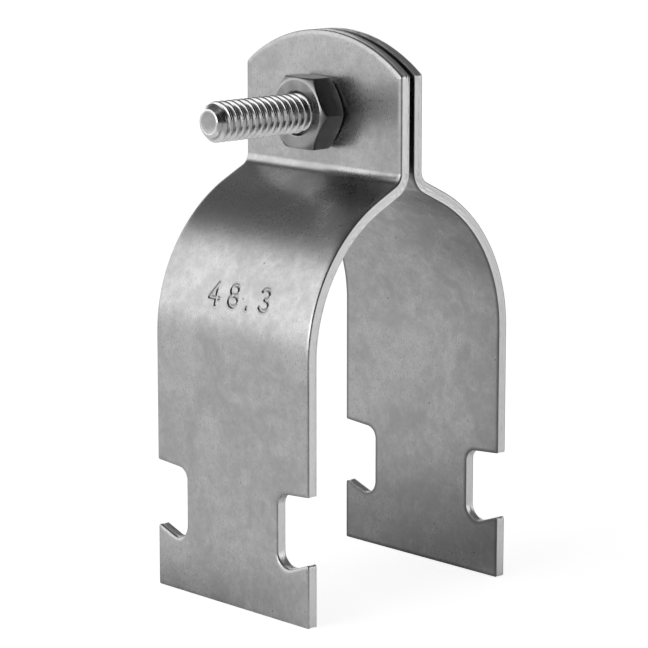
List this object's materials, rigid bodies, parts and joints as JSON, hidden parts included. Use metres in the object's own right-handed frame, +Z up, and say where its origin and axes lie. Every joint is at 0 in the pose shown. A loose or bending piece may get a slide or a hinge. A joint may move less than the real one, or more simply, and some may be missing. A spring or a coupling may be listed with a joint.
{
  "type": "channel clamp",
  "caption": "Strap clamp for pipe on slotted channel: mirrored steel straps with notched feet that hook the channel lips, drawn together by a hex screw and nut through rounded ears.",
  "frame": {"origin": "on the floor under the feet, in the middle of the part's box", "axes": "+Z up from the feet to the ears; X along the pipe, across the strip's width; Y along the screw, whose free end points to -Y"},
  "size_m": [0.0348, 0.0474, 0.0887],
  "materials": {
    "strap_steel": "satin plated sheet, soft mottling, faint scratches and small dark specks",
    "screw_steel": "bright plated rolled thread, darker in its roots",
    "nut_steel": "plated, darker than the screw, with smooth faces"
  },
  "bodies": {
    "front_half": {"front_half": "strap_steel"},
    "rear_half": {"rear_half": "strap_steel"},
    "screw": {"screw": "screw_steel"},
    "nut": {"nut": "nut_steel"}
  },
  "joints": [
    {"name": "nut_turn", "type": "hinge", "parent": "front_half", "child": "nut", "pos_m": [-0.00045, -0.00323, 0.07615], "axis": [0, 1, 0], "range_deg": [-5040, 198]},
    {"name": "screw_feed", "type": "slide", "parent": "front_half", "child": "screw", "axis": [0, 1, 0], "range_m": [-0.00069, 0.01777]},
    {"name": "rear_swivel", "type": "hinge", "parent": "screw", "child": "rear_half", "pos_m": [-0.00045, 0.00327, 0.07615], "axis": [0, 1, 0], "continuous": true}
  ],
  "couplings": [
    {"joint": "nut_turn", "follows": "screw_feed", "rad_per_m": -4947.4}
  ]
}
